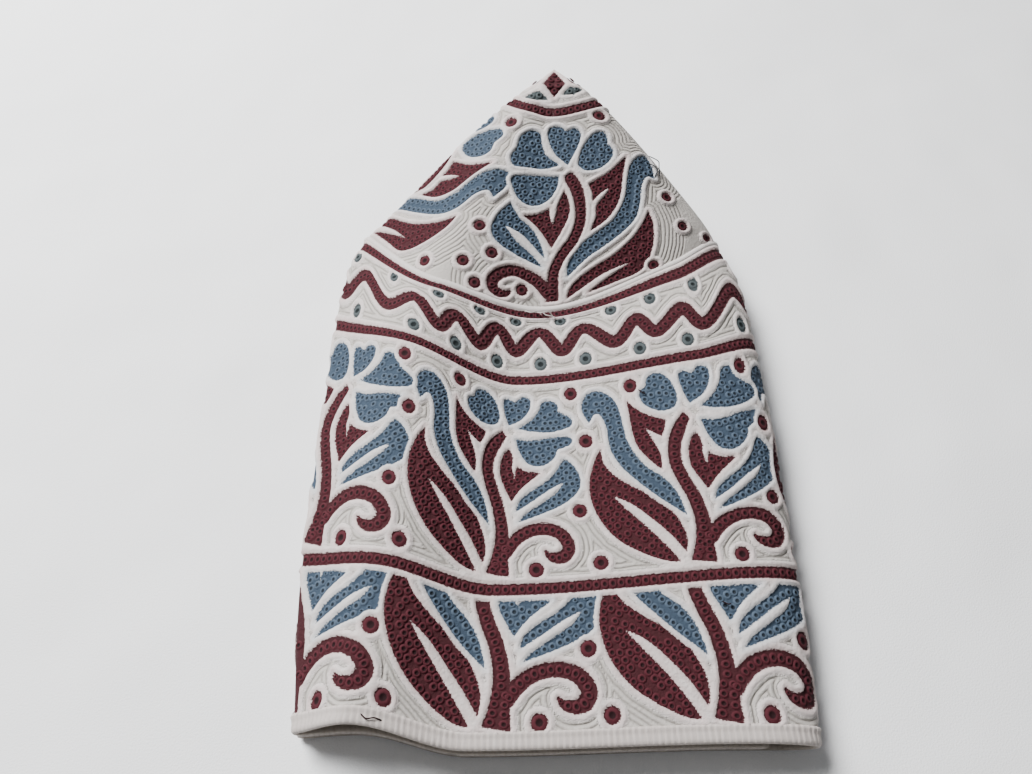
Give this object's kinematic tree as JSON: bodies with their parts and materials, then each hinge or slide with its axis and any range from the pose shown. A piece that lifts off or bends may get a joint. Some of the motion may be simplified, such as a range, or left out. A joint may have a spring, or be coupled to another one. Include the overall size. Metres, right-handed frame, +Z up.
{
  "type": "folded embroidered cap",
  "caption": "Round-crowned cotton cap with an embroidered side band, folded in four and lying flat, open at its rim",
  "frame": {"origin": "middle of the folded cap's outline seen from above, on the surface that it lies on", "axes": "+X right, +Y from the rim to the crown's tip, +Z up"},
  "size_m": [0.1358, 0.2086, 0.0476],
  "materials": {
    "quilted_cloth": "matt quilted white cotton",
    "seam_cord": "matt white satin stitch",
    "hem_cloth": "matt white cotton with rows of stitching",
    "maroon_thread": "maroon stranded thread in ring stitches",
    "blue_thread": "grey-blue stranded thread in ring stitches",
    "white_thread": "white satin stitch with a soft sheen",
    "lining_cloth": "plain off-white cotton, the reverse of the band"
  },
  "bodies": {
    "root": {"crown": "quilted_cloth", "side_band": "quilted_cloth", "crown_seam": "seam_cord", "rim_hem": "hem_cloth"}
  },
  "joints": []
}
